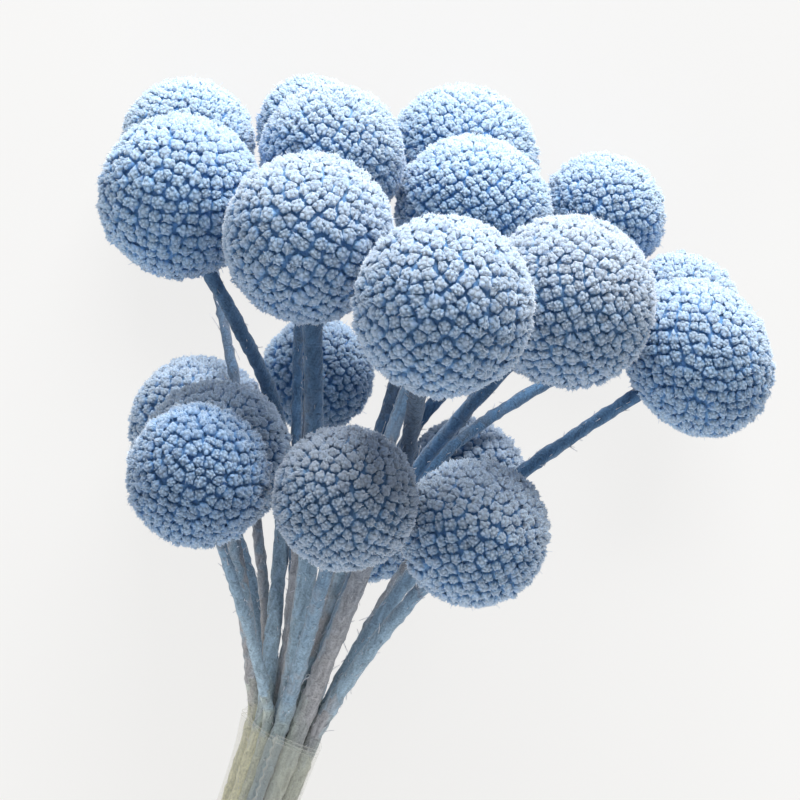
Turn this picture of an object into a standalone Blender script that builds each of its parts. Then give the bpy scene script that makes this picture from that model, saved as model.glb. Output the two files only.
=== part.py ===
"""A taped bunch of twenty dyed billy buttons, lying on its back on a flat surface.

Blender 4.5 script, in metres, +Z up. The bunch lies along +Y with its flower heads at +Y.
Each head is one solid: a ball whose florets stand up from its surface, larger than life.
Each stem is one bent tube from its cut end to the underside of its head, and the tape is one
open sleeve round all the stems. The origin is the middle of the bunch's footprint.
"""

import math
import random
from collections import namedtuple

import bmesh
import bpy
import numpy as np
from mathutils import Matrix, Vector

MM = 0.001

# Driving dimensions, in millimetres. While the bunch is laid out, Y is 0 at the tape's upper edge
# and X is 0 at the middle of the tied stems. Z is the height above the surface.
TIE_HEIGHT = 39.0
TAPE_WIDTH = 48.0
TAPE_WALL = 0.6
TAPE_SLANT = 1.0
STEM_BELOW_TAPE = 240.0
END_SPREAD = 1.3
END_UNEVENNESS = 5.0
STEM_BOW = 0.8
STEM_TAPER = 0.12
CLEARANCE = 0.3

# How the stems are packed at the tie: steps in all, the steps that also draw them together, and
# by how much each of those does
PACKING_STEPS = 1200
DRAWING_STEPS = 900
DRAWING = 0.99

# How a stem leaves the tie and meets its head: how far it heads for the flower at once, and the
# share of its length over which it keeps each end's direction, without and with a full turn
LEAVING = 0.75
LEAVING_LESS_BY_TURN = 0.9
LEAVING_REACH = (0.25, 0.25)
MEETING_REACH = (0.30, 0.22)

# How the free stems are pushed clear of each other, and how stiff they stay while they are
SETTLING_STEPS = 400
SPARE_CLEARANCE = 0.1
HEAD_CLEARANCE = 0.9
STIFFNESS = 0.12

# The points of a stem's line: the cut end, two on the free length, two at the tape's ends, and
# seven on to the head. The cut end, the tape's ends and the head's end stay where they are.
FREE_SHARES = (0.6, 0.25)
TAPE_BOTTOM, TAPE_TOP = 3, 4
HEAD_STEPS = 7
FIXED = (0, TAPE_BOTTOM, TAPE_TOP, -1)

# The florets of one head: how many, how far a tip stands above the pits round it, how far it
# stands above the head's mean radius, and the most that a tip falls short of that
FLORETS = 105
FLORET_HEIGHT = 1.9
FLORET_TIP = 0.3
FLORET_UNEVENNESS = 0.35
STEM_SIDES = 6
TAPE_SIDES = 28
TILT_PASSES = 6
SEED = 20

# A head's centre across and along the bunch and above the surface, its radius across its stem,
# its length along the stem as a share of its width, its stem's radius, how much further the stem
# has turned outwards where it meets the head than a straight stem would, and how far the stem sags.
Head = namedtuple("Head", "across along height radius flatness stem turn sag")
HEADS = (
    # The dome's front row, from left to right
    Head(-50.5, 85.5, 57.0, 15.3, 0.97, 1.50, 0.40, 12.0),
    Head(-25.0, 85.5, 76.0, 15.6, 0.97, 1.95, 0.32, 0.0),
    Head(1.5, 81.5, 94.0, 15.9, 1.00, 1.80, 0.30, 0.0),
    Head(22.5, 90.5, 70.0, 15.8, 0.98, 1.60, 0.90, 0.0),
    Head(49.0, 89.5, 52.0, 15.5, 0.84, 1.40, 0.55, 0.0),
    # The dome's middle row
    Head(-27.0, 102.0, 50.0, 13.6, 0.97, 1.40, 0.00, 0.0),
    Head(1.0, 101.5, 43.0, 14.9, 0.94, 1.50, 0.30, 0.0),
    # The dome's back row, which lies on the surface
    Head(-56.0, 97.0, 12.3, 13.2, 0.96, 1.10, 0.12, 0.0),
    Head(-34.0, 107.5, 17.5, 10.7, 0.96, 1.10, 0.05, 0.0),
    Head(-4.5, 112.0, 14.1, 15.0, 0.95, 1.45, 0.25, 0.0),
    Head(25.0, 111.0, 11.6, 12.5, 0.95, 1.35, 0.30, 0.0),
    Head(45.5, 98.0, 17.5, 11.8, 0.95, 1.25, 0.95, 0.0),
    # The lower ring, in front of the stems
    Head(-29.5, 39.0, 74.0, 13.0, 0.98, 1.15, 0.05, 0.0),
    Head(-3.5, 44.0, 77.0, 13.1, 0.97, 1.50, 0.20, 0.0),
    Head(20.5, 45.5, 63.0, 13.7, 0.97, 1.50, 0.25, 0.0),
    # The lower ring, beside and behind the stems
    Head(-29.0, 42.5, 46.0, 14.4, 0.96, 1.60, 0.10, 0.0),
    Head(-35.5, 46.0, 13.2, 13.8, 0.96, 1.35, 0.20, 0.0),
    Head(-17.0, 63.0, 19.5, 11.2, 0.96, 1.35, 0.20, 0.0),
    Head(16.5, 54.0, 26.0, 11.5, 0.96, 1.35, 0.25, 0.0),
    Head(2.0, 38.0, 11.8, 11.0, 0.96, 1.40, 0.20, 0.0),
)

# Colours as linear red, green and blue, and roughness
HEAD_LOOK = ((0.19, 0.31, 0.53, 1.0), 0.95)
STEM_LOOK = ((0.14, 0.19, 0.25, 1.0), 0.85)
TAPE_LOOK = ((0.62, 0.58, 0.40, 1.0), 0.30)


def clear_scene():
    for obj in list(bpy.data.objects):
        bpy.data.objects.remove(obj, do_unlink=True)


def material(name, look):
    colour, roughness = look
    made = bpy.data.materials.new(name)
    made.use_nodes = True
    shader = made.node_tree.nodes["Principled BSDF"]
    shader.inputs["Base Color"].default_value = colour
    shader.inputs["Roughness"].default_value = roughness
    made.diffuse_color = colour
    return made


def add_object(name, mesh, look):
    obj = bpy.data.objects.new(name, mesh)
    mesh.materials.append(look)
    bpy.context.scene.collection.objects.link(obj)
    return obj


def unit(vector):
    return vector / np.linalg.norm(vector)


class Tie:
    """The taped stretch: a straight line along the stems, tilted so the cut ends meet the surface."""

    def __init__(self, tilt):
        self.top = np.array([0.0, 0.0, TIE_HEIGHT])
        self.along = np.array([0.0, math.cos(tilt), math.sin(tilt)])
        self.across = np.array([1.0, 0.0, 0.0])
        self.outward = np.array([0.0, -math.sin(tilt), math.cos(tilt)])

    def point(self, slot, distance, spread=1.0):
        offset = (slot[0] * self.across + slot[1] * self.outward) * spread
        return self.top + offset + distance * self.along


def packed_slots(tie):
    """Each stem's place in the tied bundle: on its own head's side, as close as the stems pack.

    A stem that turns outwards late starts nearer the bundle's middle."""
    reach = np.array([(head.across, head.along, head.height) for head in HEADS]) - tie.top
    lean = np.stack([reach @ tie.across, reach @ tie.outward], axis=1)
    turns = np.array([head.turn for head in HEADS])
    lean *= ((1 - turns / 2) / (reach @ tie.along))[:, None]
    radii = np.array([head.stem for head in HEADS])
    slots = lean / np.abs(lean).max() * 4 * radii.max()
    needed = radii[:, None] + radii[None, :] + CLEARANCE
    np.fill_diagonal(needed, 0.0)
    for step in range(PACKING_STEPS):
        if step < DRAWING_STEPS:
            slots *= DRAWING
        between = slots[:, None, :] - slots[None, :, :]
        apart = np.linalg.norm(between, axis=2) + np.eye(len(slots))
        overlap = np.maximum(needed - apart, 0.0)
        slots += (between / apart[..., None] * overlap[..., None]).sum(axis=1) / 2
    return slots


def bezier(start, first, second, end, share):
    left = 1.0 - share
    return left**3 * start + 3 * left**2 * share * first + 3 * left * share**2 * second + share**3 * end


def head_axes(tie, slots):
    """The way each stem points where it meets its head, and so each head's own axis."""
    axes = []
    for head, slot in zip(HEADS, slots):
        centre = np.array([head.across, head.along, head.height])
        straight = unit(centre - tie.point(slot, 0.0))
        axes.append(unit(straight + head.turn * (straight - tie.along)))
    return np.array(axes)


def pit_radius(head):
    return head.radius + FLORET_TIP - FLORET_HEIGHT


def seat_depth(head):
    """How far under its centre a head's flat underside lies, where the stem ends.

    The flat is one floret wide, and a floret is this angle across as seen from the centre."""
    floret_angle = 2.3 / math.sqrt(FLORETS)
    return pit_radius(head) * head.flatness * math.cos(floret_angle)


def first_routes(tie, slots, axes, draw):
    """Each stem's points before they are pushed clear of each other."""
    routes = []
    for head, slot, axis in zip(HEADS, slots, axes):
        centre = np.array([head.across, head.along, head.height])
        length = TAPE_WIDTH + STEM_BELOW_TAPE + draw.uniform(-1, 1) * END_UNEVENNESS
        points = [tie.point(slot, -length, END_SPREAD)]
        for share in FREE_SHARES:
            bow = np.array([draw.uniform(-1, 1), 0.0, draw.uniform(-1, 1)]) * STEM_BOW
            spread = 1.0 + (END_SPREAD - 1.0) * share
            points.append(tie.point(slot, -TAPE_WIDTH - share * STEM_BELOW_TAPE, spread) + bow)
        points.append(tie.point(slot, -TAPE_WIDTH))
        points.append(tie.point(slot, 0.0))
        end = centre - (seat_depth(head) + CLEARANCE) * axis
        chord = np.linalg.norm(end - points[-1])
        start = points[-1]
        towards_head = LEAVING - LEAVING_LESS_BY_TURN * head.turn
        leaving = unit((1 - towards_head) * tie.along + towards_head * unit(end - start))
        first = start + (LEAVING_REACH[0] + LEAVING_REACH[1] * head.turn) * chord * leaving
        second = end - (MEETING_REACH[0] + MEETING_REACH[1] * head.turn) * chord * axis
        for share in np.linspace(0.0, 1.0, HEAD_STEPS + 1)[1:]:
            point = bezier(start, first, second, end, share)
            point[2] -= head.sag * math.sin(math.pi * share) ** 2
            points.append(point)
        routes.append(points)
    return np.array(routes)


def nearest_on_segments(p0, p1, q0, q1):
    """Shares along two sets of segments at which each pair comes closest."""
    u = p1 - p0
    v = q1 - q0
    w = p0 - q0
    uu = (u * u).sum(-1)
    vv = (v * v).sum(-1)
    uv = (u * v).sum(-1)
    uw = (u * w).sum(-1)
    vw = (v * w).sum(-1)
    s = np.clip((uv * vw - vv * uw) / np.maximum(uu * vv - uv * uv, 1e-9), 0.0, 1.0)
    t = np.clip((uv * s + vw) / vv, 0.0, 1.0)
    s = np.clip((uv * t - uw) / uu, 0.0, 1.0)
    return s, t


def settled_routes(routes):
    """The stems pushed off each other, off the other heads and up from the surface, bit by bit."""
    start = routes.copy()
    count, points = routes.shape[:2]
    radii = np.array([head.stem for head in HEADS])
    centres = np.array([(head.across, head.along, head.height) for head in HEADS])
    head_radii = np.array([head.radius for head in HEADS])
    owner = np.repeat(np.arange(count), points - 1)
    low = np.concatenate([np.arange(points - 1) + i * points for i in range(count)])
    first, second = np.nonzero(owner[:, None] < owner[None, :])
    stem, other = np.nonzero(owner[:, None] != np.arange(count)[None, :])
    needed = radii[owner[first]] + radii[owner[second]] + CLEARANCE + SPARE_CLEARANCE
    head_needed = radii[owner[stem]] + head_radii[other] + HEAD_CLEARANCE
    for _ in range(SETTLING_STEPS):
        flat = routes.reshape(-1, 3)
        push = np.zeros_like(flat)
        p0, p1 = flat[low[first]], flat[low[first] + 1]
        q0, q1 = flat[low[second]], flat[low[second] + 1]
        s, t = nearest_on_segments(p0, p1, q0, q1)
        gap = p0 + s[:, None] * (p1 - p0) - q0 - t[:, None] * (q1 - q0)
        distance = np.linalg.norm(gap, axis=1)
        close = distance < needed
        move = gap / distance[:, None] * np.maximum(needed - distance, 0.0)[:, None] * 0.5
        for index, share, sign in (
            (low[first], 1 - s, 1),
            (low[first] + 1, s, 1),
            (low[second], 1 - t, -1),
            (low[second] + 1, t, -1),
        ):
            np.add.at(push, index[close], sign * (share[:, None] * move)[close])
        a, b = flat[low[stem]], flat[low[stem] + 1]
        along = b - a
        share = np.clip(((centres[other] - a) * along).sum(1) / (along * along).sum(1), 0.0, 1.0)
        gap = a + share[:, None] * along - centres[other]
        distance = np.linalg.norm(gap, axis=1)
        move = gap / distance[:, None] * np.maximum(head_needed - distance, 0.0)[:, None]
        np.add.at(push, low[stem], (1 - share)[:, None] * move)
        np.add.at(push, low[stem] + 1, share[:, None] * move)
        push = push.reshape(routes.shape)
        push[:, FIXED] = 0.0
        offset = routes + push - start
        before, middle, after = (offset[:, TAPE_TOP + i : i - 2 or None] for i in range(3))
        middle += STIFFNESS * (before + after - 2 * middle)
        offset[:, FIXED] = 0.0
        routes = start + offset
        free = slice(1, TAPE_BOTTOM)
        routes[:, free, 2] = np.maximum(routes[:, free, 2], radii[:, None] + CLEARANCE)
    return routes


def resting_tilt():
    """The tilt at which the lowest cut ends meet the surface, found by a few repeated passes."""
    tilt = 0.0
    for _ in range(TILT_PASSES):
        tie = Tie(tilt)
        slots = packed_slots(tie)
        drop = max(head.stem - END_SPREAD * slot[1] * tie.outward[2] for head, slot in zip(HEADS, slots))
        tilt = math.asin((TIE_HEIGHT - drop) / (TAPE_WIDTH + STEM_BELOW_TAPE))
    return tilt


def stem_mesh(name, route, radius, last_direction):
    """A tube through the route's points, with flat ends."""
    ahead = [unit(b - a) for a, b in zip(route[:-1], route[1:])]
    directions = [ahead[0]] + [unit(a + b) for a, b in zip(ahead[:-1], ahead[1:])] + [last_direction]
    side = Vector((1.0, 0.0, 0.0))
    bm = bmesh.new()
    rings = []
    for number, (point, direction) in enumerate(zip(route, directions)):
        direction = Vector(direction)
        width = radius * (1.0 - STEM_TAPER * max(number - TAPE_TOP, 0) / HEAD_STEPS)
        side = (side - side.dot(direction) * direction).normalized()
        up = direction.cross(side)
        ring = []
        for k in range(STEM_SIDES):
            angle = 2 * math.pi * k / STEM_SIDES
            offset = (math.cos(angle) * side + math.sin(angle) * up) * width
            ring.append(bm.verts.new((Vector(point) + offset) * MM))
        rings.append(ring)
    for below, above in zip(rings[:-1], rings[1:]):
        for k in range(STEM_SIDES):
            m = (k + 1) % STEM_SIDES
            bm.faces.new((below[k], below[m], above[m], above[k]))
    bm.faces.new(rings[0][::-1])
    bm.faces.new(rings[-1])
    bmesh.ops.recalc_face_normals(bm, faces=bm.faces)
    mesh = bpy.data.meshes.new(name)
    bm.to_mesh(mesh)
    bm.free()
    mesh.shade_smooth()
    return mesh


def floret_directions():
    """Evenly spread directions in a spiral, as on the real head, with one straight down the stem."""
    golden = math.pi * (3.0 - math.sqrt(5.0))
    # The lowest floret's share of the ball's height is left to the one straight down
    spiral_height = 2.0 - 2.3 / FLORETS
    found = []
    for i in range(FLORETS - 1):
        z = 1.0 - spiral_height * (i + 0.5) / (FLORETS - 1)
        ring = math.sqrt(1.0 - z * z)
        found.append(Vector((ring * math.cos(golden * i), ring * math.sin(golden * i), z)))
    found.append(Vector((0.0, 0.0, -1.0)))
    return found


def head_mesh(name, head, axis, draw):
    """A ball of florets: each is a peak, and the corners where its neighbours meet are pits."""
    hull = bmesh.new()
    for direction in floret_directions():
        hull.verts.new(direction)
    hull.verts.index_update()
    bmesh.ops.convex_hull(hull, input=hull.verts, use_existing_faces=False)
    hull.verts.index_update()
    hull.faces.index_update()
    hull.normal_update()
    seat = -seat_depth(head)
    places = []
    for vert in hull.verts:
        height = head.radius + FLORET_TIP - draw.random() * FLORET_UNEVENNESS
        at_stem = vert.co.z < -0.9999
        place = vert.co.normalized() * height
        place.z = seat if at_stem else place.z * head.flatness
        places.append(place)
    for face in hull.faces:
        place = face.normal * pit_radius(head)
        at_stem = any(vert.co.z < -0.9999 for vert in face.verts)
        place.z = seat if at_stem else place.z * head.flatness
        places.append(place)
    peaks = len(hull.verts)
    corners = []
    for edge in hull.edges:
        left, right = (peaks + face.index for face in edge.link_faces)
        for vert in edge.verts:
            corners.append((vert.index, left, right))
    hull.free()
    turn = Vector((0.0, 0.0, 1.0)).rotation_difference(Vector(axis)).to_matrix()
    turn = turn @ Matrix.Rotation(draw.uniform(0.0, 2 * math.pi), 3, "Z")
    centre = Vector((head.across, head.along, head.height))
    bm = bmesh.new()
    verts = [bm.verts.new((centre + turn @ place) * MM) for place in places]
    for corner in corners:
        bm.faces.new([verts[i] for i in corner])
    bmesh.ops.recalc_face_normals(bm, faces=bm.faces)
    if head.height < head.radius:
        flatten_underneath(bm)
    mesh = bpy.data.meshes.new(name)
    bm.to_mesh(mesh)
    bm.free()
    return mesh


def flatten_underneath(bm):
    """The florets that the head rests on, pressed flat where they would reach below the surface."""
    everything = list(bm.verts) + list(bm.edges) + list(bm.faces)
    bmesh.ops.bisect_plane(
        bm, geom=everything, plane_co=(0, 0, 0), plane_no=(0, 0, -1), clear_outer=True, dist=1e-7
    )
    open_edges = [edge for edge in bm.edges if edge.is_boundary]
    bmesh.ops.holes_fill(bm, edges=open_edges, sides=0)
    bmesh.ops.triangulate(bm, faces=[face for face in bm.faces if len(face.verts) > 3])
    bmesh.ops.recalc_face_normals(bm, faces=bm.faces)


def sleeve_mesh(name, tie, slots):
    """The tape: an outline drawn tight round the stems, with its thickness outside it."""
    angles = [2 * math.pi * k / TAPE_SIDES for k in range(TAPE_SIDES)]
    reach = []
    for angle in angles:
        way = np.array([math.cos(angle), math.sin(angle)])
        reach.append(max(slot @ way + head.stem for head, slot in zip(HEADS, slots)) + CLEARANCE)
    step = 2 * math.pi / TAPE_SIDES

    def corner(k, extra):
        """Where the tangent lines at this angle and the next one cross."""
        a, b = reach[k] + extra, reach[(k + 1) % TAPE_SIDES] + extra
        outward = np.array([math.cos(angles[k]), math.sin(angles[k])])
        sideways = np.array([-math.sin(angles[k]), math.cos(angles[k])])
        return outward * a + sideways * (b - a * math.cos(step)) / math.sin(step)

    bm = bmesh.new()
    rings = []
    for extra, distance, slant in (
        (0.0, -TAPE_WIDTH, 0.0),
        (0.0, 0.0, TAPE_SLANT),
        (TAPE_WALL, 0.0, TAPE_SLANT),
        (TAPE_WALL, -TAPE_WIDTH, 0.0),
    ):
        ring = []
        for k in range(TAPE_SIDES):
            place = corner(k, extra)
            lift = -slant * (1 + math.cos(angles[k]))
            ring.append(bm.verts.new(Vector(tie.point(place, distance + lift)) * MM))
        rings.append(ring)
    for below, above in zip(rings, rings[1:] + rings[:1]):
        for k in range(TAPE_SIDES):
            m = (k + 1) % TAPE_SIDES
            bm.faces.new((below[k], below[m], above[m], above[k]))
    bmesh.ops.recalc_face_normals(bm, faces=bm.faces)
    mesh = bpy.data.meshes.new(name)
    bm.to_mesh(mesh)
    bm.free()
    mesh.shade_smooth()
    mesh.set_sharp_from_angle(angle=math.radians(40))
    return mesh


def centre_footprint(objects):
    """Moves the bunch so that the origin is under the middle of its box."""
    corners = np.array([vert.co for obj in objects for vert in obj.data.vertices])
    low, high = corners.min(axis=0), corners.max(axis=0)
    shift = Matrix.Translation((-(low[0] + high[0]) / 2, -(low[1] + high[1]) / 2, -low[2]))
    for obj in objects:
        obj.data.transform(shift)


def main():
    clear_scene()
    draw = random.Random(SEED)
    tie = Tie(resting_tilt())
    slots = packed_slots(tie)
    axes = head_axes(tie, slots)
    routes = settled_routes(first_routes(tie, slots, axes, draw))
    head_look = material("dyed_florets", HEAD_LOOK)
    stem_look = material("dyed_stem", STEM_LOOK)
    tape_look = material("clear_tape", TAPE_LOOK)
    objects = []
    for number, (head, route, axis) in enumerate(zip(HEADS, routes, axes), 1):
        name = f"stem_{number:02d}"
        objects.append(add_object(name, stem_mesh(name, route, head.stem, axis), stem_look))
        name = f"head_{number:02d}"
        objects.append(add_object(name, head_mesh(name, head, axis, draw), head_look))
    objects.append(add_object("tape", sleeve_mesh("tape", tie, slots), tape_look))
    centre_footprint(objects)


if __name__ == "__main__":
    main()
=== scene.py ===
"""The looks of a taped bunch of dyed, dried billy buttons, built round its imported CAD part.

Laid out as a Blender 4.5 add-on and run as a script. Every piece stands for the CAD node of the
same place: a head's florets are crowded tufts on a dark ball, a stem is a woolly tube along the
CAD stem's line, and the tape is a strip of clear film wound round the stems. Lengths are in
metres where nothing else is said.
"""

import math

import bpy
import numpy as np
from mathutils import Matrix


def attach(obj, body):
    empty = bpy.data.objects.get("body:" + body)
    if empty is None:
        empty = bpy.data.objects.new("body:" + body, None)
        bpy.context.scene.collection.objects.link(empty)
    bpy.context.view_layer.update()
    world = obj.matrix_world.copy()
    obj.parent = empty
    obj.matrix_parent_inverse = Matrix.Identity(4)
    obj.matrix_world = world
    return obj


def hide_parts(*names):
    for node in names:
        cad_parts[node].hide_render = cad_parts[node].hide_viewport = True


bl_info = {
    "name": "Dried flower bunch",
    "version": (1, 0, 0),
    "blender": (4, 5, 0),
    "location": "3D View > Sidebar > Dried flowers",
    "description": "Models and finishes a taped bunch of dyed, dried billy buttons",
    "category": "Add Mesh",
}

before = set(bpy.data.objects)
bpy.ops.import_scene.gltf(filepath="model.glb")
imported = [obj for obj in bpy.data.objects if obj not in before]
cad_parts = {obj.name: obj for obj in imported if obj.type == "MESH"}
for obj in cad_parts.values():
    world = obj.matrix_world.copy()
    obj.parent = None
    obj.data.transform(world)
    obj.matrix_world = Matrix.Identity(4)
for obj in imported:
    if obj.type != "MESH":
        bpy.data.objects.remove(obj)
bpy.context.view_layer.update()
BODY = "root"
MM = 0.001
TURN = 2 * math.pi
SEED = 7

# The middle of the tape's upper edge, across and along the bunch
TAPE_TOP = (0.0027, 0.0823)

# The camera looks straight down, turned as the bunch leans in the photograph
CAMERA_PLACE = (0.0025, 0.1461, 0.710)
CAMERA_TURN = math.radians(19.5)
CAMERA_LENS = 160.7

# Each head's tuft spacing in millimetres, how grey its dye has dried (0 clear blue, 1 grey lilac)
# and how pale its tufts are (0 deep, 1 pale), which also sets how much painted light its side facing the
# window takes
HEAD_LOOKS = {
    "head_01": (2.52, 0.10, 0.40),
    "head_02": (2.61, 0.55, 0.60),
    "head_03": (2.67, 0.60, 0.55),
    "head_04": (2.41, 0.80, 0.75),
    "head_05": (2.46, 0.25, 0.45),
    "head_06": (2.16, 0.35, 0.70),
    "head_07": (2.16, 0.10, 0.65),
    "head_08": (2.05, 0.10, 0.65),
    "head_09": (2.05, 0.15, 0.75),
    "head_10": (2.10, 0.10, 0.70),
    "head_11": (2.00, 0.20, 0.70),
    "head_12": (2.16, 0.30, 0.50),
    # head_13's deep value is painted shadow from the heads above it
    "head_13": (2.26, 0.15, -0.05),
    "head_14": (2.26, 0.90, 0.50),
    "head_15": (2.31, 0.60, 0.75),
    "head_16": (2.26, 0.45, 0.40),
    "head_17": (2.16, 0.50, 0.50),
    "head_18": (2.16, 0.10, 0.30),
    "head_19": (2.16, 0.60, 0.30),
    "head_20": (2.26, 0.40, 0.40),
}
STEMS = [head.replace("head", "stem") for head in HEAD_LOOKS]
CAD_STEM_SIDES = 6

# A tuft's tip stands this far above the CAD head's mean radius, as the CAD florets' tips do, and
# its root is sunk this deep in the dark ball
TIP_ABOVE_MEAN = 1.15 * MM
ROOT_DEPTH = 0.4 * MM
# A tuft fills the room between its neighbours, with rounder corners for a lower number here
TUFT_SQUARENESS = 7
# How much a neighbour behind a point counts for the room there, next to nothing
BEHIND = 1e-9
# Within a tuft that is 2 wide: how far out its florets stand, and how wide they are for their share
# of the way round
FLORETS_OUT = 0.60
FLORET_ROOM = 0.7076
HAIR_RADIUS = 0.045
# Below this height florets are pressed flat on the surface
PRESSED_BELOW = 0.05 * MM

STRAY_FIBRES = 100
LOOSE_FIBRES = 240
STEM_STEP = 1.1 * MM
# The stems' wool stands out in lumps of these sizes, by these shares of the lumps' height
WOOL_LUMPS = ((6.0 * MM, 1.0), (1.4 * MM, 1.4), (0.5 * MM, 1.1))
# How straw-coloured a stem is under the tape, by how far to the side it lies there in millimetres
RIPE_PLACES = (-9, -4.5, -3, 0, 2.5, 3.2, 4.5, 6, 8)
RIPENESS = (1.0, 1.0, 0.2, 0.15, 0.4, 1.0, 0.7, 0.5, 0.1)

# The film's points in one turn and across its width, where its free end lies, and the notches
# that the cutter left in that end
FILM_STEPS = 96
FILM_ROWS = 48
FILM_END = math.radians(95)
FILM_NOTCH = math.radians(3)
# How far from the stems the first layer lies, and how much further each turn lies than the last
FILM_CLEARANCE = 0.45 * MM
FILM_LAYER = 0.12 * MM


def linear(code):
    """An sRGB hex value as linear red, green, blue and alpha."""
    channels = [int(code[i : i + 2], 16) / 255 for i in (1, 3, 5)]
    return [c / 12.92 if c <= 0.04045 else ((c + 0.055) / 1.055) ** 2.4 for c in channels] + [1.0]


def unit(vector):
    """A vector, or each of several, brought to a length of 1."""
    return vector / np.linalg.norm(vector, axis=-1, keepdims=True)


class HeadSettings(bpy.types.PropertyGroup):
    tuft_depth: bpy.props.FloatProperty(
        name="Tuft depth",
        description="How far a tuft stands above the dark ball that it grows from",
        default=1.25 * MM,
        subtype="DISTANCE",
    )
    tuft_gap: bpy.props.FloatProperty(
        name="Gap",
        description="The dark gap between two tufts at their widest",
        default=0.02 * MM,
        subtype="DISTANCE",
    )
    tip: bpy.props.FloatVectorProperty(
        name="Tip",
        description="The tufts' tips, powder blue",
        default=linear("#a9c5e8"),
        size=4,
        subtype="COLOR",
    )
    # The roots' colour is partly dye gathered there and partly painted shade in the gaps between tufts
    root: bpy.props.FloatVectorProperty(
        name="Root",
        description="The tufts' roots, where the dye has gathered",
        default=linear("#6294cc"),
        size=4,
        subtype="COLOR",
    )


class StemSettings(bpy.types.PropertyGroup):
    dyed: bpy.props.FloatVectorProperty(
        name="Dyed",
        description="The dyed wool of the stems, grey blue",
        default=linear("#b1c7d3"),
        size=4,
        subtype="COLOR",
    )
    undyed: bpy.props.FloatVectorProperty(
        name="Undyed",
        description="The stems under the tape and below it, which the dye hasn't reached",
        default=linear("#ebe5c0"),
        size=4,
        subtype="COLOR",
    )
    lumps: bpy.props.FloatProperty(
        name="Lumps",
        description="How far the wool stands out in lumps",
        default=0.45 * MM,
        subtype="DISTANCE",
    )


class TapeSettings(bpy.types.PropertyGroup):
    turns: bpy.props.FloatProperty(
        name="Turns", description="How often the strip goes round the stems", default=2.2
    )
    opacity: bpy.props.FloatProperty(
        name="Opacity",
        description="How much of what is behind it one layer of the film hides",
        default=0.10,
        subtype="FACTOR",
    )


class StageSettings(bpy.types.PropertyGroup):
    paper: bpy.props.FloatVectorProperty(
        name="Paper",
        description="The pale backdrop paper that the bunch lies on",
        default=linear("#f2f1ef"),
        size=4,
        subtype="COLOR",
    )


def fill(tree, node, values):
    """Sets a node's properties and sockets by name or number, or links them to other sockets."""
    for key, value in values.items():
        if isinstance(value, bpy.types.NodeSocket):
            tree.links.new(value, node.inputs[key])
        elif isinstance(key, str) and hasattr(node, key):
            setattr(node, key, value)
        else:
            node.inputs[key].default_value = value
    return node


def add_node(tree, kind, values, output=0):
    """Adds a node, fills it in and gives one of its outputs."""
    return fill(tree, tree.nodes.new(kind), values).outputs[output]


def attribute(tree, name, output="Fac"):
    """What the piece's points carry under this name."""
    return add_node(tree, "ShaderNodeAttribute", {"attribute_name": name}, output)


def object_place(tree):
    """The place in the piece, in metres."""
    return add_node(tree, "ShaderNodeTexCoord", {}, "Object")


def noise(tree, place, size, detail, distortion=0.0):
    """Cloudy noise from 0 to 1, in lumps of about this size."""
    values = {"Vector": place, "Scale": 1 / size, "Detail": detail, "Distortion": distortion}
    return add_node(tree, "ShaderNodeTexNoise", values)


def weighed(tree, value, weight, added, clamp=False):
    """A value times its weight, plus another value or a number."""
    values = {"operation": "MULTIPLY_ADD", "use_clamp": clamp, 0: value, 1: weight, 2: added}
    return add_node(tree, "ShaderNodeMath", values)


def ranged(tree, value, source, target, kind="LINEAR"):
    """A value brought from one range to another, and held at its ends."""
    values = {0: value, 1: source[0], 2: source[1], 3: target[0], 4: target[1]}
    return add_node(tree, "ShaderNodeMapRange", {"interpolation_type": kind, **values})


def blended(tree, share, first, second, kind="MIX"):
    """A colour with a share of another mixed or multiplied into it."""
    values = {"data_type": "RGBA", "blend_type": kind, 0: share, 6: first, 7: second}
    return add_node(tree, "ShaderNodeMix", values, 2)


def shaded(tree, colour, value):
    """A colour made lighter or darker by a factor."""
    return add_node(tree, "ShaderNodeHueSaturation", {"Color": colour, "Value": value})


def bumped(tree, height, strength, depth):
    """The surface's normal, where a height from 0 to 1 raises it by up to this depth."""
    return add_node(tree, "ShaderNodeBump", {"Height": height, "Strength": strength, "Distance": depth})


def new_material(name):
    """A new material, its node tree and its shader."""
    material = bpy.data.materials.new(name)
    material.use_nodes = True
    tree = material.node_tree
    return material, tree, tree.nodes["Principled BSDF"]


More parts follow.
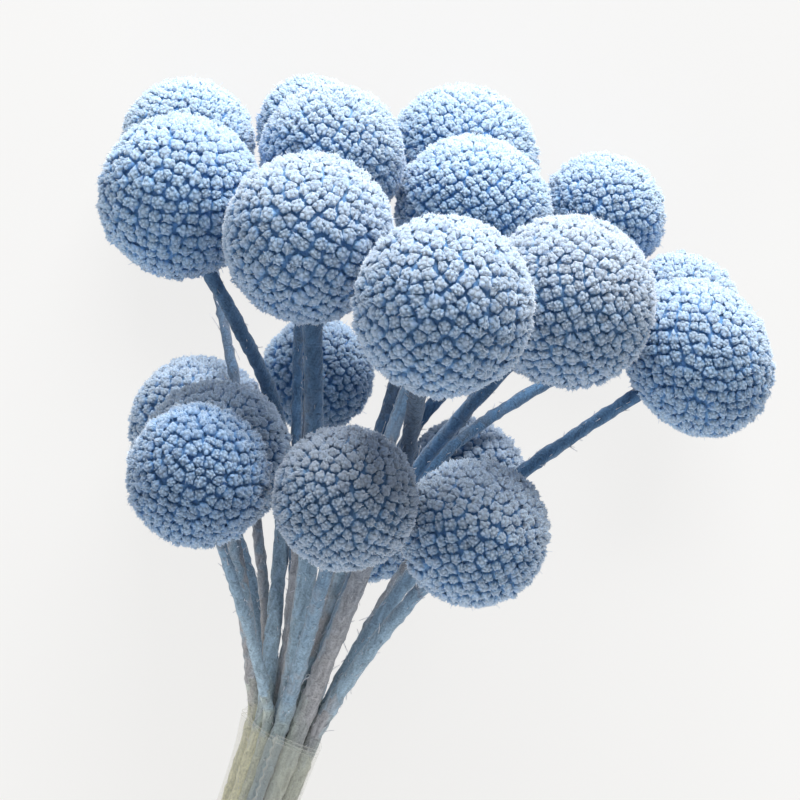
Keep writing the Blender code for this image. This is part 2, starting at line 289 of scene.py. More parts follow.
def floret_material():
    """Dried florets, dyed in a bath: matt and felted, pale at the tips, and darker towards their roots
    between them, partly deeper dye gathered there and partly painted shade in the gaps."""
    settings = bpy.context.scene.bunch_heads
    material, tree, shader = new_material("dyed_dried_florets")
    place = object_place(tree)
    # Cottony grain, 0.4 mm, and drifts of unevenly taken dye, 9 mm
    grain = noise(tree, place, 0.4 * MM, 2.0)
    drift = noise(tree, place, 9 * MM, 2.0)
    # A tuft is pale at its tip, and on the side of the head that faces the window it is pale further down:
    # painted light
    height = weighed(tree, attribute(tree, "faded"), 1.25, attribute(tree, "tip"))
    # Towards its root a tuft takes the root colour: partly deeper dye, partly painted shade between the
    # tufts
    share = ranged(tree, height, (0.40, 1.00), (0.0, 1.0), "SMOOTHSTEP")
    blue = blended(tree, share, settings.root, settings.tip)
    greyed = blended(tree, attribute(tree, "grey"), blue, linear("#f2dfcf"), "MULTIPLY")
    lightness = weighed(tree, attribute(tree, "pale"), 0.45, 0.355)
    lightness = weighed(tree, grain, 0.50, weighed(tree, drift, 0.35, lightness))
    # The light spreads in the felt, so it shows the head's roundness as well as the tuft's
    head_normal = add_node(
        tree,
        "ShaderNodeVectorTransform",
        {
            "vector_type": "NORMAL",
            "convert_from": "OBJECT",
            "convert_to": "WORLD",
            0: attribute(tree, "outward", "Vector"),
        },
    )
    own_normal = bumped(tree, grain, 0.5, 0.2 * MM)
    normal = add_node(
        tree, "ShaderNodeMix", {"data_type": "VECTOR", 0: 0.42, 4: own_normal, 5: head_normal}, 1
    )
    fill(
        tree,
        shader,
        {
            "Base Color": shaded(tree, greyed, lightness),
            "Normal": add_node(tree, "ShaderNodeVectorMath", {"operation": "NORMALIZE", 0: normal}),
            "Roughness": 0.95,
            "Specular IOR Level": 0.15,
            "Subsurface Weight": 0.8,
            "Subsurface Radius": (0.9, 1.0, 1.1),
            "Subsurface Scale": 0.6 * MM,
            "Sheen Weight": 0.7,
            "Sheen Roughness": 0.5,
            "Sheen Tint": linear("#e8f1fa"),
        },
    )
    return material


def stem_material():
    """Dried woolly stems, dyed standing in a bath: grey-blue with bare beige patches above the tape, darker
    towards the heads and in the wool's grooves with painted shade, straw and olive from the tape's edge
    down, and matt all over."""
    settings = bpy.context.scene.bunch_stems
    material, tree, shader = new_material("dyed_dried_stem")
    along, spun = attribute(tree, "along"), attribute(tree, "spun", "Vector")
    # Strands of wool, 0.7 mm, patches, 5 mm, and felt between them, 0.35 mm
    wool = noise(tree, spun, 0.7 * MM, 4.0)
    patches = noise(tree, spun, 5 * MM, 3.0)
    felt = noise(tree, object_place(tree), 0.35 * MM, 2.0)
    worn = weighed(tree, attribute(tree, "bared"), 0.24, patches)
    bare = blended(tree, ranged(tree, worn, (0.54, 0.70), (0.0, 0.9)), settings.dyed, linear("#c3bcb8"))
    # The dye is deeper in some stems; all stems are darker from 15 mm above the tape, most from 60 mm up,
    # as painted shade under the heads
    shade_under_heads = ranged(tree, along, (15.0, 60.0), (0.0, 0.8))
    dye_and_shade_depth = weighed(tree, attribute(tree, "tint"), 0.7, shade_under_heads, clamp=True)
    dyed_and_shaded = blended(tree, dye_and_shade_depth, bare, linear("#7f9dbc"), "MULTIPLY")
    # The dye ends in a ragged line within a few millimetres of the tape's edge
    undyed = ranged(tree, weighed(tree, patches, 22.0, along), (18.0, 6.0), (0.0, 1.0))
    unripe = weighed(tree, patches, 0.9, weighed(tree, attribute(tree, "ripe"), -1.0, 0.55), clamp=True)
    straw = blended(tree, unripe, settings.undyed, linear("#8fa3ac"))
    whole = blended(tree, undyed, dyed_and_shaded, straw)
    fluff = blended(tree, attribute(tree, "peeled"), whole, linear("#e4e3e8"))
    # Wool and felt grain, darker where the bump is low: partly the fibres' tone, partly painted shade in
    # the grooves
    grain_and_groove_shade = weighed(tree, felt, 0.7, wool)
    fill(
        tree,
        shader,
        {
            "Base Color": shaded(tree, fluff, ranged(tree, grain_and_groove_shade, (0.6, 1.1), (0.62, 1.3))),
            "Normal": bumped(tree, grain_and_groove_shade, 0.9, 0.3 * MM),
            "Roughness": 0.9,
            "Specular IOR Level": 0.2,
            "Sheen Weight": 0.3,
        },
    )
    return material


def film_material():
    """Polypropylene packing tape: clear, glossy film, slightly yellow and creased, its cut edges more
    opaque and pale as a painted glint."""
    settings = bpy.context.scene.bunch_tape
    material, tree, shader = new_material("clear_tape_film")
    creases = noise(tree, object_place(tree), 4 * MM, 3.0, distortion=1.5)
    fill(
        tree,
        shader,
        {
            "Base Color": linear("#f3f0e2"),
            # Painted glint: the cut edges are more opaque and pale
            "Alpha": ranged(tree, attribute(tree, "edge"), (0.0, 1.0), (settings.opacity, 0.45)),
            "Normal": bumped(tree, creases, 0.5, 0.4 * MM),
            "Roughness": 0.22,
            "IOR": 1.49,
        },
    )
    return material


def paper_material():
    """Matt backdrop paper, lit so evenly that it hardly takes a shadow."""
    settings = bpy.context.scene.bunch_stage
    material, tree, shader = new_material("pale_backdrop_paper")
    # Paper fibre, 0.6 mm, very faint
    fibre = noise(tree, object_place(tree), 0.6 * MM, 2.0)
    tone = ranged(tree, fibre, (0.0, 1.0), (0.99, 1.01))
    fill(
        tree,
        shader,
        {
            "Base Color": shaded(tree, linear("#5e5e5e"), tone),
            "Roughness": 1.0,
            "Specular IOR Level": 0.0,
            "Emission Color": settings.paper,
            "Emission Strength": 0.905,
        },
    )
    return material


def merged_mesh(node):
    """The CAD node's points, each once, in metres, and its triangles between them."""
    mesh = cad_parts[node].data
    points = np.array([vert.co for vert in mesh.vertices], float)
    points, index = np.unique(np.round(points, 7), axis=0, return_inverse=True)
    mesh.calc_loop_triangles()
    faces = np.array([triangle.vertices for triangle in mesh.loop_triangles])
    return points, index.reshape(-1)[faces]


def stem_line(node):
    """A CAD stem's line from its cut end: the middle and the radius of each of its rings."""
    points, faces = merged_mesh(node)
    ring = set(np.argsort(points[:, 1])[:CAD_STEM_SIDES])
    seen, middles, radii = set(), [], []
    while ring:
        around = points[sorted(ring)]
        middles.append(around.mean(axis=0))
        radii.append(np.linalg.norm(around - middles[-1], axis=1).mean())
        seen |= ring
        ring = {i for face in faces if set(face) & ring for i in face} - seen
    return np.array(middles), np.array(radii)


def fitted_head(node, axis):
    """A CAD head's centre, its radius across the stem and its length along it as a share of its
    width, from the ball that fits its points best.

    The florets pressed on the surface and the seat of the stem are left out of the fit."""
    points, _ = merged_mesh(node)
    depth = points @ axis
    keep = (points[:, 2] > 0.2 * MM) & (depth > depth.min() + 0.5 * MM)
    side = unit(np.cross(axis, [0.0, 0.3, 1.0]))
    other = np.cross(axis, side)
    x, y, z = points[keep] @ side, points[keep] @ other, depth[keep]
    unknowns = np.stack([2 * x, 2 * y, -z * z, 2 * z, np.ones_like(x)], axis=1)
    cx, cy, a, acz, rest = np.linalg.lstsq(unknowns, x * x + y * y, rcond=None)[0]
    cz = acz / a
    radius = math.sqrt(rest + cx * cx + cy * cy + a * cz * cz)
    return cx * side + cy * other + cz * axis, radius, 1 / math.sqrt(a)


def finish_piece(obj, node, material):
    """Gives a piece its finish and makes it stand for its CAD node."""
    obj.data.materials.clear()
    obj.data.materials.append(material)
    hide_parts(node)
    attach(obj, BODY)


def give(mesh, **values):
    """Stores numbers or vectors on a mesh's points, or one number on all, for its material."""
    for name, value in values.items():
        value = np.asarray(value, np.float32)
        if value.ndim == 2:
            mesh.attributes.new(name, "FLOAT_VECTOR", "POINT").data.foreach_set("vector", value.reshape(-1))
        else:
            value = np.broadcast_to(value, len(mesh.vertices)).copy()
            mesh.attributes.new(name, "FLOAT", "POINT").data.foreach_set("value", value)


def joined(shapes):
    """Several shapes as one, each given as its points and faces."""
    points, faces, count = [], [], 0
    for shape, shape_faces in shapes:
        points.append(shape)
        faces.extend(tuple(count + i for i in face) for face in shape_faces)
        count += len(shape)
    return np.concatenate(points), faces


def copies(placed, faces):
    """Copies of one shape as a shape, from the points of each copy and the faces of one."""
    count = placed.shape[1]
    all_faces = [tuple(k * count + i for i in face) for k in range(len(placed)) for face in faces]
    return placed.reshape(-1, 3), all_faces


def taken(obj):
    """The points and faces of an object, which is removed."""
    points = np.array([vert.co for vert in obj.data.vertices])
    faces = [tuple(face.vertices) for face in obj.data.polygons]
    bpy.data.objects.remove(obj)
    return points, faces


def select_only(obj):
    bpy.ops.object.select_all(action="DESELECT")
    bpy.context.view_layer.objects.active = obj
    obj.select_set(True)


def grown(rings, sides, tip):
    """A bud, open at its root: rings of (half width, height) from its root up, then its tip."""
    bpy.ops.object.select_all(action="DESELECT")
    bpy.ops.mesh.primitive_circle_add(vertices=sides, radius=rings[0][0], fill_type="NGON")
    obj = bpy.context.object
    bpy.ops.object.mode_set(mode="EDIT")
    for (radius, height), (wider, higher) in zip(rings, rings[1:]):
        bpy.ops.mesh.extrude_region_move(TRANSFORM_OT_translate={"value": (0, 0, higher - height)})
        size = wider / radius
        bpy.ops.transform.resize(value=(size, size, 1.0), center_override=(0, 0, 0))
    bpy.ops.mesh.poke(offset=tip - rings[-1][1])
    bpy.ops.object.mode_set(mode="OBJECT")
    upward = [face.normal.z > -0.9 for face in obj.data.polygons]
    points, faces = taken(obj)
    return points + [0, 0, rings[0][1]], [face for face, kept in zip(faces, upward) if kept]


def tuft_pattern(around, draw):
    """One tuft, as wide as 2 and as high as 1: a lump, florets that bud from it, and their hairs."""
    floret, floret_faces = grown(((1.02, 0.28),), 5, 1.05)
    hair, hair_faces = grown(((1.0, 0.0),), 3, 1.0)
    shapes = [grown(((1.02, 0.0), (0.84, 0.66)), 6, 0.82)]
    # One floret stands in the middle and the others round it, each with its half width and height
    places = [(0.06, 0.0, 0.40, 1.0)]
    for k in range(around):
        turn = TURN * (k + draw.uniform(-0.15, 0.15)) / around
        out = FLORETS_OUT + draw.uniform(-0.08, 0.06)
        width = FLORET_ROOM * math.sin(math.pi / around) * draw.uniform(0.85, 1.15)
        places.append((out * math.cos(turn), out * math.sin(turn), width, draw.uniform(0.84, 1.0)))
    for x, y, width, height in places:
        turn = draw.uniform(0, TURN)
        c, s = math.cos(turn) * width, math.sin(turn) * width
        # A floret further out starts lower down the lump
        low = 0.70 - 0.42 * math.hypot(x, y)
        floret_x = x + c * floret[:, 0] - s * floret[:, 1]
        floret_y = y + s * floret[:, 0] + c * floret[:, 1]
        floret_z = low + floret[:, 2] * (height - low)
        shapes.append((np.stack([floret_x, floret_y, floret_z], axis=1), floret_faces))
    for x, y, width, height in places:
        turn = draw.uniform(0, TURN)
        across = np.array([-math.sin(turn), math.cos(turn), 0.0])
        way = unit(np.array([math.cos(turn), math.sin(turn), draw.uniform(0.2, 1.4)]))
        root = np.array([x, y, height - 0.12]) + way * [0.5 * width, 0.5 * width, 0.0]
        placed = (
            root
            + np.outer(hair[:, 0] * HAIR_RADIUS, across)
            + np.outer(hair[:, 1] * HAIR_RADIUS, np.cross(way, across))
            + np.outer(hair[:, 2] * draw.uniform(0.25, 0.55), way)
        )
        shapes.append((placed, hair_faces))
    return joined(shapes)


def wisp_pattern():
    """One stray fibre, straight and 1 long, with a radius of 1."""
    bpy.ops.object.select_all(action="DESELECT")
    bpy.ops.mesh.primitive_circle_add(vertices=3, radius=1.0, fill_type="NGON")
    obj = bpy.context.object
    bpy.ops.object.mode_set(mode="EDIT")
    for _ in range(3):
        bpy.ops.mesh.extrude_region_move(TRANSFORM_OT_translate={"value": (0, 0, 1 / 3)})
    bpy.ops.object.mode_set(mode="OBJECT")
    return taken(obj)


def wisps(pattern, roots, ways, outward, lengths, radius, draw):
    """Copies of the stray fibre at their roots, thinner and bent over towards their tips."""
    shape, faces = pattern
    ways = unit(ways)
    over = unit(outward - (outward * ways).sum(-1, keepdims=True) * ways)
    side = np.cross(ways, over)
    height = shape[:, 2]
    bend = 0.25 * height**1.7
    thickness = radius * (1 - 0.45 * height)
    lengths = lengths[:, None]
    curl = draw.uniform(-0.5, 1.0, len(roots))[:, None]
    placed = (
        roots[:, None, :]
        + ways[:, None, :] * (lengths * height)[..., None]
        + over[:, None, :] * (lengths * curl * bend + thickness * shape[:, 1])[..., None]
        + side[:, None, :] * (lengths * curl[::-1] * 0.6 * bend + thickness * shape[:, 0])[..., None]
    )
    return copies(placed, faces)


def tuft_directions(radius, spacing, stem_radius, draw):
    """Where tufts grow on a ball: in even spirals round Z, slightly shifted, clear of the stem."""
    # Each tuft has a six-sided cell of 0.866 times its spacing squared
    count = int(2 * TURN * radius**2 / (0.866 * spacing**2))
    number = np.arange(count)
    height = 1 - 2 * (number + 0.5) / count
    ring = np.sqrt(1 - height * height)
    turn = math.pi * (3 - math.sqrt(5)) * number + draw.uniform(0, TURN)
    directions = np.stack([ring * np.cos(turn), ring * np.sin(turn), height], axis=1)
    directions = unit(directions + draw.normal(0, 0.15 * spacing / radius, directions.shape))
    stem_angle = math.asin((stem_radius + 0.5 * MM) / radius)
    return directions[directions[:, 2] > -math.cos(stem_angle)]


def sideways(directions):
    """Two directions across each direction, square to each other."""
    side = unit(np.cross(directions, [0.31, 0.17, 0.93]))
    return side, np.cross(directions, side)


def tuft_room(directions, radius, spacing, draw):
    """The bearing of each tuft's eight nearest neighbours, and how far it is to where they meet."""
    side, other = sideways(directions)
    closeness = directions @ directions.T
    np.fill_diagonal(closeness, -1.0)
    nearest = np.argsort(-closeness, axis=1)[:, :8]
    offset = (directions[nearest] - directions[:, None, :]) * radius
    x, y = (offset * side[:, None, :]).sum(-1), (offset * other[:, None, :]).sum(-1)
    half_way = np.hypot(x, y) / 2
    # A bulky tuft takes room from its neighbours
    bulk = draw.normal(0, 0.09 * spacing, len(directions)).clip(-0.22 * spacing, 0.3 * spacing)
    half_way += (bulk[:, None] - bulk[nearest]) / 2
    # Tufts crowd each other along a spiral row, and stand clear of the rows beside it
    half_way[:, :2] *= 1.06
    half_way[:, 2:] *= 0.96
    # No tuft is squeezed to nothing
    return np.arctan2(y, x), half_way.clip(0.25 * spacing)


def tufts(directions, patterns, ball_radius, tip_radius, spacing, draw):
    """The tufts of a head round its middle, by pattern: their shape, their points' heights (0 root,
    1 tip) and how much paler than the head they are."""
    count = len(directions)
    side, other = sideways(directions)
    bearing, half_way = tuft_room(directions, tip_radius, spacing, draw)
    kinds = draw.integers(0, len(patterns), count)
    turns = draw.uniform(0, TURN, count)
    rises = draw.normal(0, 0.22 * MM, count).clip(-0.45 * MM, 0.45 * MM)
    leans = draw.normal(0, 0.10 * MM, (count, 2))
    shades = draw.normal(0, 0.10, count)
    # A tuft doesn't spread far where it has no neighbour
    widest, gap = 0.85 * spacing, bpy.context.scene.bunch_heads.tuft_gap
    root_radius = ball_radius - ROOT_DEPTH
    made = []
    for kind, (shape, faces) in enumerate(patterns):
        chosen = np.nonzero(kinds == kind)[0]
        x, y, height = shape.T
        angle = np.arctan2(y, x) + turns[chosen, None]
        # Neighbours behind a point don't limit how far out it stands
        toward = np.cos(angle[:, :, None] - bearing[chosen, None]).clip(BEHIND) / half_way[chosen, None]
        limit = (toward**TUFT_SQUARENESS).sum(-1) ** (-1 / TUFT_SQUARENESS)
        lift = root_radius + height * (tip_radius - root_radius + rises[chosen, None])
        # A tuft narrows towards the ball's centre as its neighbours do
        reach = np.hypot(x, y) * (limit.clip(0, widest) - gap / 2) * lift / tip_radius
        lean = leans[chosen, None] * height[:, None]
        rough = draw.normal(0, 0.015 * MM, (len(chosen), len(shape), 3)) * (height > 0.3)[:, None]
        placed = (
            directions[chosen, None] * lift[..., None]
            + side[chosen, None] * (reach * np.cos(angle) + lean[..., 0])[..., None]
            + other[chosen, None] * (reach * np.sin(angle) + lean[..., 1])[..., None]
            + rough
        )
        paler = np.repeat(shades[chosen], len(shape))
        made.append((copies(placed, faces), np.tile(height, len(chosen)), paler))
    return made


def head_piece(node, patterns, wisp, ball, draw):
    """A head: a dark ball crowded with tufts, with stray fibres between their tips."""
    spacing, grey, pale = HEAD_LOOKS[node]
    spacing *= MM
    middles, radii = stem_line(node.replace("head", "stem"))
    axis = unit(middles[-1] - middles[-2])
    centre, mean_radius, flatness = fitted_head(node, axis)
    tip_radius = mean_radius + TIP_ABOVE_MEAN
    ball_radius = tip_radius - bpy.context.scene.bunch_heads.tuft_depth
    directions = tuft_directions(tip_radius, spacing, radii[-1], draw)
    parts = tufts(directions, patterns, ball_radius, tip_radius, spacing, draw)
    stray = directions[draw.choice(len(directions), STRAY_FIBRES, replace=False)]
    fibres = wisps(
        wisp,
        stray * (tip_radius - 0.5 * MM),
        stray + draw.normal(0, 0.8, stray.shape),
        sideways(stray)[0],
        draw.uniform(0.8, 1.6, len(stray)) * MM,
        0.07 * MM,
        draw,
    )
    parts.append((fibres, np.full(len(fibres[0]), 1.1), np.full(len(fibres[0]), 0.4)))
    ball_points, ball_faces = ball
    # The ball at the floor of the gaps takes the roots' colour, partly painted shade
    parts.append(((ball_points * ball_radius, ball_faces), *np.zeros((2, len(ball_points)))))
    shapes, heights, paler = zip(*parts)
    points, faces = joined(shapes)
    # The ball's Z is turned along the stem
    across = unit(np.cross(axis, [0.2, 0.1, 1.0]))
    points = points * [1, 1, flatness] @ np.stack([across, np.cross(axis, across), axis]) + centre
    low = points[:, 2] < PRESSED_BELOW
    points[low, 2] = PRESSED_BELOW + (points[low, 2] - PRESSED_BELOW) * 0.02
    points[:, 2] = np.maximum(points[:, 2], 0.0)
    name = node.replace("head", "florets")
    mesh = bpy.data.meshes.new(name)
    mesh.from_pydata(points.tolist(), [], faces)
    mesh.update()
    mesh.shade_smooth()
    outward = unit(points - centre)
    give(
        mesh,
        outward=outward,
        tip=np.concatenate(heights),
        pale=pale + np.concatenate(paler),
        grey=grey,
        # Painted light: the head's side facing the window, towards +Y, is paler, the more so for a paler
        # head
        faded=np.maximum(outward[:, 1], 0.0) * max(pale, 0.0),
    )
    obj = bpy.data.objects.new(name, mesh)
    bpy.context.scene.collection.objects.link(obj)
    return obj


class BUNCH_OT_heads(bpy.types.Operator):
    """Models every flower head as a dark ball crowded with lobed tufts"""

    bl_idname = "bunch.heads"
    bl_label = "Flower heads"

    def execute(self, context):
        draw = np.random.default_rng(SEED)
        material = floret_material()
        patterns = [tuft_pattern(around, draw) for around in (4, 4, 5, 5, 5, 6)]
        wisp = wisp_pattern()
        bpy.ops.object.select_all(action="DESELECT")
        bpy.ops.mesh.primitive_ico_sphere_add(subdivisions=4, radius=1.0)
        ball = taken(bpy.context.object)
        for node in HEAD_LOOKS:
            obj = head_piece(node, patterns, wisp, ball, draw)
            finish_piece(obj, node, material)
        return {"FINISHED"}


def even_line(middles, radii, step):
    """The line through the CAD rings' middles as a smooth curve, with a point every step."""
    before = np.concatenate([[2 * middles[0] - middles[1]], middles, [2 * middles[-1] - middles[-2]]])
    lengths = np.linalg.norm(np.diff(before, axis=0), axis=1) ** 0.5
    knots = np.concatenate([[0.0], np.cumsum(lengths)])
    fine, fine_radii = [], []
    for i in range(1, len(before) - 2):
        t0, t1, t2, t3 = knots[i - 1 : i + 3]
        p0, p1, p2, p3 = before[i - 1 : i + 3]
        share = np.linspace(0, 1, 40, endpoint=False)[:, None]
        t = t1 + share * (t2 - t1)
        a1 = (t1 - t) / (t1 - t0) * p0 + (t - t0) / (t1 - t0) * p1
        a2 = (t2 - t) / (t2 - t1) * p1 + (t - t1) / (t2 - t1) * p2
        a3 = (t3 - t) / (t3 - t2) * p2 + (t - t2) / (t3 - t2) * p3
        b1 = (t2 - t) / (t2 - t0) * a1 + (t - t0) / (t2 - t0) * a2
        b2 = (t3 - t) / (t3 - t1) * a2 + (t - t1) / (t3 - t1) * a3
        fine.append((t2 - t) / (t2 - t1) * b1 + (t - t1) / (t2 - t1) * b2)
        fine_radii.append(radii[i - 1] + share[:, 0] * (radii[i] - radii[i - 1]))
    fine = np.concatenate(fine + [middles[-1:]])
    fine_radii = np.concatenate(fine_radii + [radii[-1:]])
    gone = lengths_along(fine)
    wanted = np.linspace(0, gone[-1], int(gone[-1] / step))
    line = np.stack([np.interp(wanted, gone, fine[:, k]) for k in range(3)], axis=1)
    return line, np.interp(wanted, gone, fine_radii)


def lengths_along(line):
    """How far along a line each of its points is."""
    return np.concatenate([[0.0], np.cumsum(np.linalg.norm(np.diff(line, axis=0), axis=1))])


def wool_tube(node, line, radii):
    """A closed tube along a line, its wall lumpy with wool."""
    curve = bpy.data.curves.new(node, "CURVE")
    curve.dimensions = "3D"
    curve.bevel_depth = 1.0
    curve.bevel_resolution = 3
    curve.use_fill_caps = True
    spline = curve.splines.new("POLY")
    spline.points.add(len(line) - 1)
    spline.points.foreach_set("co", np.column_stack([line, np.ones(len(line))]).reshape(-1))
    spline.points.foreach_set("radius", radii)
    obj = bpy.data.objects.new(node.replace("stem", "stalk"), curve)
    bpy.context.scene.collection.objects.link(obj)
    select_only(obj)
    bpy.ops.object.convert(target="MESH")
    obj = bpy.context.object
    for size, share in WOOL_LUMPS:
        texture = bpy.data.textures.new("wool", "CLOUDS")
        texture.noise_scale = size
        lumps = obj.modifiers.new("wool", "DISPLACE")
        lumps.texture = texture
        lumps.texture_coords = "GLOBAL"
        lumps.strength = bpy.context.scene.bunch_stems.lumps * share
        lumps.mid_level = 0.5
        bpy.ops.object.modifier_apply(modifier=lumps.name)
        bpy.data.textures.remove(texture)
    return obj


def loose_wool(wisp, line, radii, draw):
    """Fibres that have come loose from a stem, more of them upwards, and one in ten of them long."""
    at = draw.integers(5, len(line) - 3, LOOSE_FIBRES)
    out = unit(draw.normal(0, 1, (len(at), 3)))
    forward = unit(line[at + 1] - line[at - 1])
    out = unit(out - (out * forward).sum(-1, keepdims=True) * forward)
    lengths = draw.uniform(0.5, 1.3, len(at)) * MM
    lengths[draw.random(len(at)) < 0.10] *= 3.0
    upward = draw.choice([-1.0, 1.0], (len(at), 1), p=[0.35, 0.65])
    upward = upward * draw.uniform(0.15, 1.0, (len(at), 1))
    ways = forward * upward + 0.5 * out * draw.uniform(0.2, 1.2, (len(at), 1))
    roots = line[at] + out * (radii[at] - 0.05 * MM)[:, None]
    return wisps(wisp, roots, ways, out, lengths, 0.09 * MM, draw)


def stem_piece(node, wisp, draw):
    """A stem: a lumpy tube along the CAD stem's line, with loose fibres all along it."""
    middles, radii = stem_line(node)
    # The last stretch goes on into the head's florets
    middles[-1] += unit(middles[-1] - middles[-2]) * 1.5 * MM
    line, radii = even_line(middles, radii, STEM_STEP)
    obj = wool_tube(node, line, radii)
    mesh = obj.data
    tube = [vert.co[:] for vert in mesh.vertices], [tuple(face.vertices) for face in mesh.polygons]
    points, faces = joined([tube, loose_wool(wisp, line, radii, draw)])
    nearest = ((points[:, None, :] - line[None, ::4, :]) ** 2).sum(-1).argmin(axis=1) * 4
    gone = lengths_along(line)
    tied = np.abs(line[:, 1] - TAPE_TOP[1]).argmin()
    # Wool is drawn out along the stem, four times as long as it is wide
    offset = points - line[nearest]
    spun = np.column_stack([offset[:, 0], offset[:, 2], 0.25 * gone[nearest] + draw.uniform(0, 1)])
    points[:, 2] = np.maximum(points[:, 2], 0.0)
    mesh.clear_geometry()
    mesh.from_pydata(points.tolist(), [], faces)
    mesh.update()
    bpy.ops.object.shade_smooth()
    give(
        mesh,
        spun=spun,
        along=(gone[nearest] - gone[tied]) / MM,
        tint=draw.uniform(0.0, 0.9),
        peeled=np.where(np.arange(len(points)) < len(tube[0]), 0.0, 0.8),
        bared=draw.uniform(-0.6, 1.0),
        ripe=np.interp((line[tied, 0] - TAPE_TOP[0]) / MM, RIPE_PLACES, RIPENESS),
    )
    return obj


class BUNCH_OT_stems(bpy.types.Operator):
    """Models every stem as a woolly tube along its CAD line"""

    bl_idname = "bunch.stems"
    bl_label = "Stems"

    def execute(self, context):
        draw = np.random.default_rng(SEED + 1)
        material = stem_material()
        wisp = wisp_pattern()
        for node in STEMS:
            finish_piece(stem_piece(node, wisp, draw), node, material)
        return {"FINISHED"}


def tape_axis():
    """The middle of the tape's lower edge, its axis, two directions across it, and its length."""
    points, _ = merged_mesh("tape")
    offset = points - points.mean(axis=0)
    along = unit(np.linalg.svd(offset, full_matrices=False)[2][0])
    along = along * np.sign(along[1])
    across = np.array([1.0, 0.0, 0.0])
    distance = offset @ along
    return points[distance < 0].mean(axis=0), along, across, unit(np.cross(across, along)), np.ptp(distance)


def bundle_outline(middle, along, across, outward, length):
    """How far a film drawn tight round the stems lies from the tape's axis: at these turns, in a
    row for each of nine heights."""
    turns = np.linspace(0, TURN, FILM_STEPS, endpoint=False)
    facing = np.cos(turns[:, None] - turns)
    lines = [even_line(*stem_line(node), 1.0 * MM) for node in STEMS]
    rows = []
    for height in np.linspace(0, length, 9):
        reach = np.full(len(turns), -1.0)
        for line, radii in lines:
            near = np.abs((line - middle) @ along - height).argmin()
            x, y = (line[near] - middle) @ across, (line[near] - middle) @ outward
            reach = np.maximum(reach, x * np.cos(turns) + y * np.sin(turns) + radii[near])
        rows.append(np.where(facing > 0.1, reach / np.maximum(facing, 0.1), 1.0).min(axis=1))
    return turns, np.array(rows)


class BUNCH_OT_tape(bpy.types.Operator):
    """Winds a strip of clear film round the stems"""

    bl_idname = "bunch.tape"
    bl_label = "Tape"

    def execute(self, context):
        settings = context.scene.bunch_tape
        columns = int(settings.turns * FILM_STEPS)
        bpy.ops.object.select_all(action="DESELECT")
        bpy.ops.mesh.primitive_grid_add(x_subdivisions=columns, y_subdivisions=FILM_ROWS, size=1.0)
        obj = bpy.context.object
        obj.name = "tape_film"
        mesh = obj.data
        flat = np.array([vert.co for vert in mesh.vertices])
        # From the strip's start to its free end, and from its lower edge to its upper edge
        share, row = flat[:, 0] + 0.5, np.round((flat[:, 1] + 0.5) * FILM_ROWS).astype(int)
        serrated = share > 1 - 0.5 / columns
        cut = serrated | (row == 0) | (row == FILM_ROWS)
        # The first row in from each edge lies close to it, and holds the cut edge's painted glint
        width = np.interp(row, [0, 1, FILM_ROWS - 1, FILM_ROWS], [0, 0.006, 0.994, 1])
        turned = FILM_END - (1 - share) * settings.turns * TURN
        turned = turned + np.where(serrated & (row % 2 == 0), FILM_NOTCH, 0)
        middle, along, across, outward, length = tape_axis()
        turns, outlines = bundle_outline(middle, along, across, outward, length)
        at_turn = np.stack([np.interp(turned, turns, reach, period=TURN) for reach in outlines])
        level = width * (len(outlines) - 1)
        below = np.minimum(level.astype(int), len(outlines) - 2)
        part, every = level - below, np.arange(len(level))
        outline = at_turn[below, every] * (1 - part) + at_turn[below + 1, every] * part
        draw = np.random.default_rng(SEED + 2)
        waves = sum(
            draw.uniform(0.4, 1.0) * np.sin(turned * k + width * draw.uniform(-9, 9) + draw.uniform(0, 6))
            for k in (3, 5, 8, 13)
        )
        out = outline + FILM_CLEARANCE + FILM_LAYER * share * settings.turns + waves * 0.022 * MM
        # The upper edge runs askew, and each turn starts a little lower than the next
        slope = 1.0 * MM * (1 + np.cos(turned)) + 1.6 * MM * (1 - share)
        place = (
            middle
            + np.outer(out * np.cos(turned), across)
            + np.outer(out * np.sin(turned), outward)
            + np.outer(width * (length - 0.5 * MM - slope), along)
        )
        mesh.vertices.foreach_set("co", place.astype(np.float32).reshape(-1))
        mesh.update()
        # The cut edges carry the painted glint
        give(mesh, edge=cut)
        bpy.ops.object.shade_smooth()
        finish_piece(obj, "tape", film_material())
        return {"FINISHED"}


def soft_light(name, place, aim, power):
    """A large square soft box, 0.9 m wide, that faces a point."""
    light = bpy.data.lights.new(name, "AREA")
    light.size = 0.9
    light.energy = power
    obj = bpy.data.objects.new(name, light)
    obj.location = place
    x, y, z = np.array(place) - np.array(aim)
    obj.rotation_euler = (math.atan2(math.hypot(x, y), z), 0, math.atan2(x, -y))
    bpy.context.scene.collection.objects.link(obj)


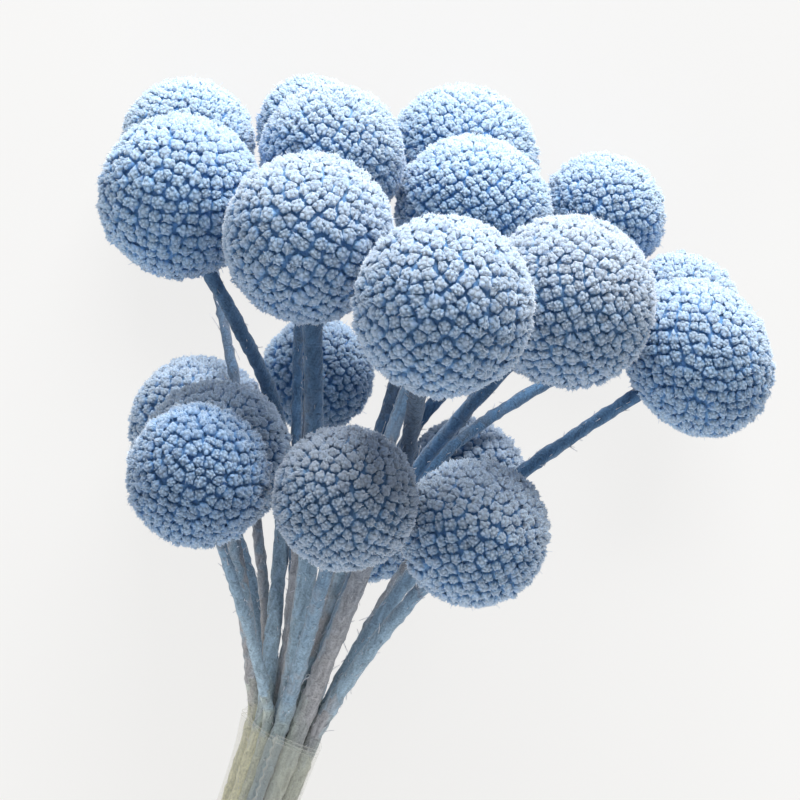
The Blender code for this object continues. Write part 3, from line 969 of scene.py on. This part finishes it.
class BUNCH_OT_stage(bpy.types.Operator):
    """Sets the pale backdrop paper, the soft light and the photograph's camera"""

    bl_idname = "bunch.stage"
    bl_label = "Stage"

    def execute(self, context):
        scene = context.scene
        bpy.ops.object.select_all(action="DESELECT")
        bpy.ops.mesh.primitive_plane_add(size=8.0)
        paper = bpy.context.object
        paper.name = "backdrop_paper"
        paper.data.materials.append(paper_material())
        world = bpy.data.worlds.new("soft_room")
        world.use_nodes = True
        background = world.node_tree.nodes["Background"]
        fill(world.node_tree, background, {"Color": linear("#e8effa"), "Strength": 0.45})
        scene.world = world
        # A low window beyond the heads lights their tops, and a reflector softens the other side
        heads = (0.0, 0.13, 0.04)
        soft_light("window", (-0.2, 1.5, 0.47), heads, 45.0)
        soft_light("reflector", (0.1, -1.2, 0.5), heads, 10.0)
        camera = bpy.data.cameras.new("camera")
        camera.lens = CAMERA_LENS
        camera.sensor_width = 36.0
        holder = bpy.data.objects.new("camera", camera)
        holder.location = CAMERA_PLACE
        holder.rotation_euler = (0.0, 0.0, CAMERA_TURN)
        scene.collection.objects.link(holder)
        scene.camera = holder
        scene.view_settings.view_transform = "Standard"
        return {"FINISHED"}


class BUNCH_PT_panel(bpy.types.Panel):
    bl_label = "Dried flower bunch"
    bl_space_type = "VIEW_3D"
    bl_region_type = "UI"
    bl_category = "Dried flowers"

    def draw(self, context):
        for step in STEPS:
            self.layout.operator(step.bl_idname)


SETTINGS = {
    "bunch_heads": HeadSettings,
    "bunch_stems": StemSettings,
    "bunch_tape": TapeSettings,
    "bunch_stage": StageSettings,
}
STEPS = (BUNCH_OT_stage, BUNCH_OT_stems, BUNCH_OT_tape, BUNCH_OT_heads)
CLASSES = (*SETTINGS.values(), *STEPS, BUNCH_PT_panel)


def register():
    for cls in CLASSES:
        bpy.utils.register_class(cls)
    for name, group in SETTINGS.items():
        setattr(bpy.types.Scene, name, bpy.props.PointerProperty(type=group))


def unregister():
    for name in SETTINGS:
        delattr(bpy.types.Scene, name)
    for cls in reversed(CLASSES):
        bpy.utils.unregister_class(cls)


def main():
    register()
    bpy.ops.bunch.stage()
    bpy.ops.bunch.stems()
    bpy.ops.bunch.tape()
    bpy.ops.bunch.heads()


if __name__ == "__main__":
    main()
